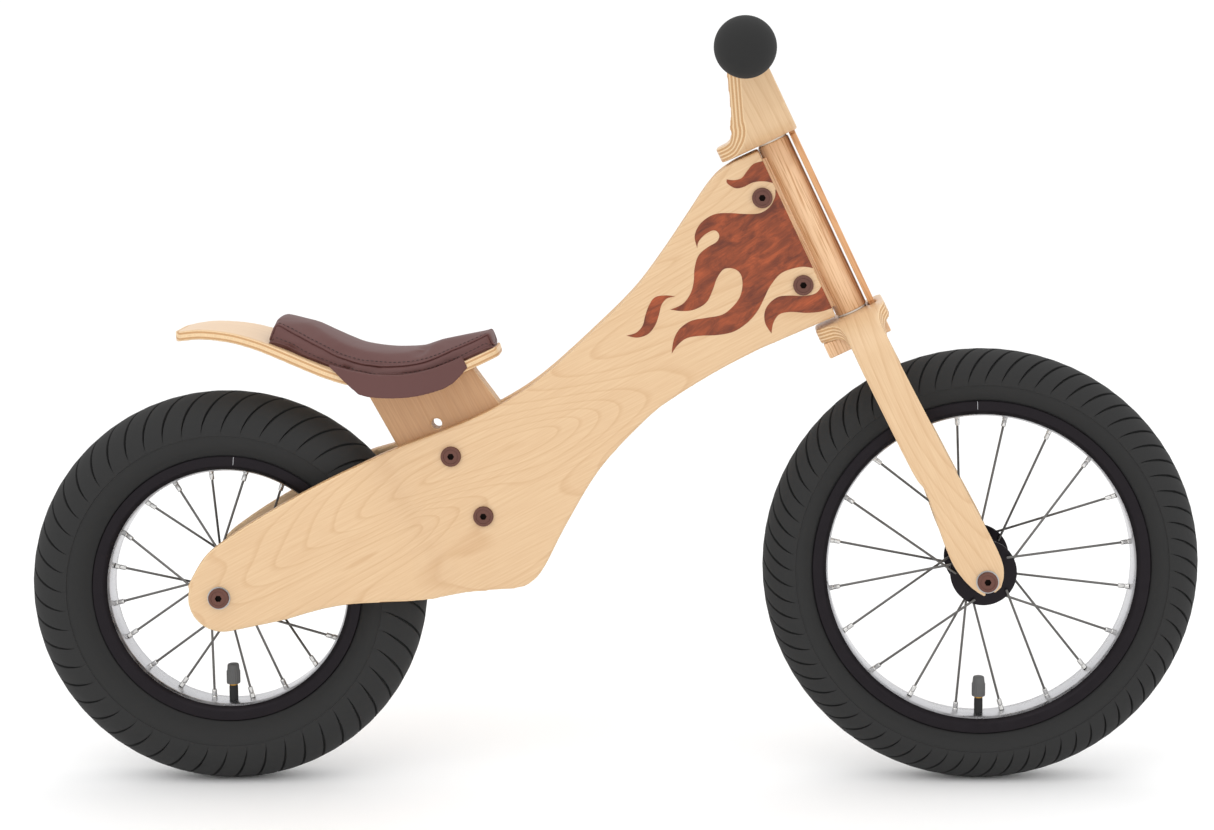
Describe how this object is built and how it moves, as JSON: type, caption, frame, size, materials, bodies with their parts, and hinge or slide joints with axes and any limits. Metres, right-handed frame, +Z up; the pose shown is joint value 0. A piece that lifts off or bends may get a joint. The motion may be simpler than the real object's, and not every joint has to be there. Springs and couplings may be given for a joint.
{
  "type": "balance bike",
  "caption": "Wooden balance bike with bent plywood side plates, a moulded plywood fork, spoked wheels, a turning handlebar and a leather-padded seat.",
  "frame": {"origin": "on the floor under the middle of the bike: x halfway between the two tyres' outer ends, y on the plane of symmetry, z at the floor", "axes": "+X forward, +Y to the rider's left, +Z up"},
  "size_m": [0.936, 0.346, 0.6137],
  "materials": {
    "birch_ply": "clear satin lacquer",
    "post_ply": "clear satin lacquer",
    "hardwood": "clear satin lacquer",
    "saddle_leather": "grained, soft sheen",
    "tyre_rubber": "matt",
    "grip_rubber": "matt",
    "black_rim": "gloss black",
    "dark_spoke": "dark",
    "nipple_metal": "bright",
    "steel": "zinc plated",
    "bronze_bolt": "satin bronze",
    "cap_plastic": "matt",
    "nylon": "matt"
  },
  "bodies": {
    "frame": {"side_plate_left": "birch_ply", "side_plate_right": "birch_ply", "head_post": "hardwood", "head_bushes": "nylon", "head_bolts": "bronze_bolt", "seat_post": "post_ply", "seat_bolts": "bronze_bolt", "seat_board": "birch_ply", "seat_screws": "steel", "saddle_pad": "saddle_leather", "saddle_skirt": "saddle_leather", "rear_axle": "steel", "rear_axle_bolts": "bronze_bolt", "rear_washers": "steel"},
    "steering": {"fork": "birch_ply", "crown_block": "hardwood", "handlebar_crown": "birch_ply", "handlebar": "hardwood", "grip_left": "grip_rubber", "grip_right": "grip_rubber", "steering_rod": "steel", "steering_nuts": "steel", "steering_link": "hardwood", "bar_screws": "steel", "front_axle": "steel", "front_axle_bolts": "bronze_bolt", "front_washers": "steel"},
    "rear_wheel": {"rear_tyre": "tyre_rubber", "rear_tube": "tyre_rubber", "rear_rim": "black_rim", "rear_spokes": "dark_spoke", "rear_nipples": "nipple_metal", "rear_hub": "black_rim", "rear_bearings": "steel", "rear_valve": "grip_rubber", "rear_valve_cap": "cap_plastic"},
    "front_wheel": {"front_tyre": "tyre_rubber", "front_tube": "tyre_rubber", "front_rim": "black_rim", "front_spokes": "dark_spoke", "front_nipples": "nipple_metal", "front_hub": "black_rim", "front_bearings": "steel", "front_valve": "grip_rubber", "front_valve_cap": "cap_plastic"}
  },
  "joints": [
    {"name": "steering_turn", "type": "hinge", "parent": "frame", "child": "steering", "pos_m": [0.15722, 0, 0.44852], "axis": [-0.4258, 0, 0.9048], "range_deg": [-40, 40]},
    {"name": "rear_wheel_spin", "type": "hinge", "parent": "frame", "child": "rear_wheel", "pos_m": [-0.31, 0, 0.158], "axis": [0, 1, 0], "continuous": true},
    {"name": "front_wheel_spin", "type": "hinge", "parent": "steering", "child": "front_wheel", "pos_m": [0.293, 0, 0.175], "axis": [0, 1, 0], "continuous": true}
  ]
}
